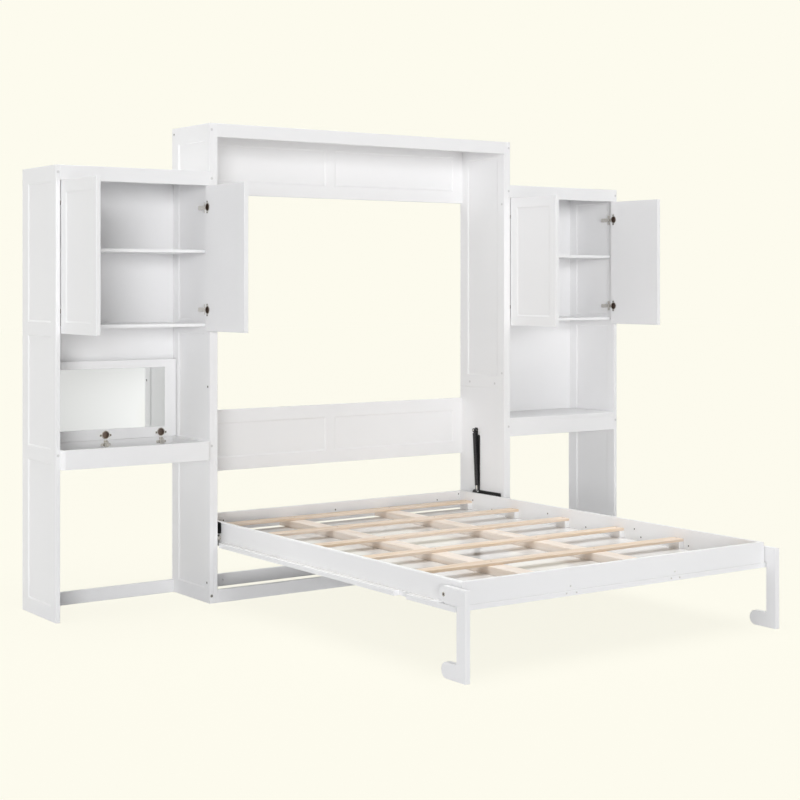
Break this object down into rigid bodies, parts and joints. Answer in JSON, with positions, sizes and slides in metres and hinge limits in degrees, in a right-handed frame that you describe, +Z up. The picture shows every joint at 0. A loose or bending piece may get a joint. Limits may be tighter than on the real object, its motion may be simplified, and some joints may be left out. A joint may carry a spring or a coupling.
{
  "type": "wall bed with desks",
  "caption": "Fold-down wall bed between two towers with cupboards, a vanity desk whose mirror lid folds down and a fixed desk.",
  "frame": {"origin": "on the floor, at the back plane of the unit, midway between the two towers", "axes": "+X along the wall to the right as seen from the room, +Y towards the wall, +Z up"},
  "size_m": [3.164, 2.167, 2.134],
  "materials": {
    "white_paint": "satin white paint",
    "pine": "planed pine",
    "black_steel": "black powder coat",
    "bright_steel": "bright zinc",
    "mirror_glass": "silvered glass",
    "cap_plastic": "matt"
  },
  "bodies": {
    "unit": {"outer_left_panel": "white_paint", "centre_left_panel": "white_paint", "centre_right_panel": "white_paint", "outer_right_panel": "white_paint", "upper_left_lining": "white_paint", "upper_right_lining": "white_paint", "lower_left_lining": "white_paint", "lower_right_lining": "white_paint", "crown_board": "white_paint", "portal_top_board": "white_paint", "upper_back_panel": "white_paint", "headboard_panel": "white_paint", "portal_front_floor_rail": "white_paint", "portal_rear_floor_rail": "white_paint", "left_tower_top": "white_paint", "right_tower_top": "white_paint", "left_tower_crown": "white_paint", "right_tower_crown": "white_paint", "left_shelves": "white_paint", "right_shelves": "white_paint", "left_back_panel": "white_paint", "right_back_panel": "white_paint", "left_floor_rail": "white_paint", "right_floor_rail": "white_paint", "tray_bottom": "white_paint", "tray_apron": "white_paint", "tray_rear_wall": "white_paint", "tray_sides": "white_paint", "right_desk_top": "white_paint", "right_desk_apron": "white_paint", "hinge_plates": "bright_steel", "cover_caps": "cap_plastic", "lift_frame_plates": "black_steel"},
    "bed": {"bed_left_rail": "white_paint", "bed_right_rail": "white_paint", "bed_head_board": "white_paint", "bed_foot_board": "white_paint", "face_panel": "white_paint", "slat_cleats": "white_paint", "cross_slats": "pine", "support_beams": "pine", "leg_bolts": "bright_steel", "lift_arm_plates": "black_steel"},
    "left_leg": {"left_leg": "white_paint"},
    "right_leg": {"right_leg": "white_paint"},
    "door_1": {"door_1": "white_paint", "door_1_hinge_cups": "bright_steel"},
    "door_2": {"door_2": "white_paint", "door_2_hinge_cups": "bright_steel"},
    "door_3": {"door_3": "white_paint", "door_3_hinge_cups": "bright_steel"},
    "door_4": {"door_4": "white_paint", "door_4_hinge_cups": "bright_steel"},
    "lid": {"desk_lid": "white_paint", "mirror": "mirror_glass", "lid_hinge_cups": "bright_steel"},
    "strut_tube_left": {"strut_tube_left": "black_steel"},
    "strut_rod_left": {"strut_rod_left": "bright_steel"},
    "strut_tube_right": {"strut_tube_right": "black_steel"},
    "strut_rod_right": {"strut_rod_right": "bright_steel"}
  },
  "joints": [
    {"name": "bed_fold", "type": "hinge", "parent": "unit", "child": "bed", "pos_m": [0, -0.325, 0.283], "axis": [-1, 0, 0], "range_deg": [0, 90]},
    {"name": "left_leg_swing", "type": "hinge", "parent": "bed", "child": "left_leg", "pos_m": [-0.803, -2.039, 0.301], "axis": [1, 0, 0], "range_deg": [0, 90.05]},
    {"name": "right_leg_swing", "type": "hinge", "parent": "bed", "child": "right_leg", "pos_m": [0.803, -2.039, 0.301], "axis": [1, 0, 0], "range_deg": [0, 90.05]},
    {"name": "door_1_swing", "type": "hinge", "parent": "unit", "child": "door_1", "pos_m": [-1.559, -0.362, 1.53], "axis": [0, 0, 1], "range_deg": [0, 90]},
    {"name": "door_2_swing", "type": "hinge", "parent": "unit", "child": "door_2", "pos_m": [-0.859, -0.362, 1.53], "axis": [0, 0, -1], "range_deg": [0, 90]},
    {"name": "door_3_swing", "type": "hinge", "parent": "unit", "child": "door_3", "pos_m": [0.859, -0.362, 1.53], "axis": [0, 0, 1], "range_deg": [0, 90]},
    {"name": "door_4_swing", "type": "hinge", "parent": "unit", "child": "door_4", "pos_m": [1.559, -0.362, 1.53], "axis": [0, 0, -1], "range_deg": [0, 90]},
    {"name": "lid_fold", "type": "hinge", "parent": "unit", "child": "lid", "pos_m": [-1.209, -0.043, 0.722], "axis": [1, 0, 0], "range_deg": [0, 90]},
    {"name": "strut_left_turn", "type": "hinge", "parent": "unit", "child": "strut_tube_left", "pos_m": [-0.801, -0.138, 0.668], "axis": [-1, 0, 0], "range_deg": [0, 8.15]},
    {"name": "strut_left_slide", "type": "slide", "parent": "strut_tube_left", "child": "strut_rod_left", "axis": [0, -0.0695, -0.9976], "range_m": [0, 0.2459]},
    {"name": "strut_right_turn", "type": "hinge", "parent": "unit", "child": "strut_tube_right", "pos_m": [0.801, -0.138, 0.668], "axis": [-1, 0, 0], "range_deg": [0, 8.15]},
    {"name": "strut_right_slide", "type": "slide", "parent": "strut_tube_right", "child": "strut_rod_right", "axis": [0, -0.0695, -0.9976], "range_m": [0, 0.2459]}
  ],
  "couplings": [
    {"joint": "left_leg_swing", "follows": "bed_fold", "ratio": 1},
    {"joint": "strut_left_turn", "follows": "bed_fold", "ratio": 0.090294},
    {"joint": "strut_left_slide", "follows": "bed_fold", "m_per_rad": 0.15645},
    {"joint": "right_leg_swing", "follows": "bed_fold", "ratio": 1},
    {"joint": "strut_right_turn", "follows": "bed_fold", "ratio": 0.090294},
    {"joint": "strut_right_slide", "follows": "bed_fold", "m_per_rad": 0.15645}
  ]
}
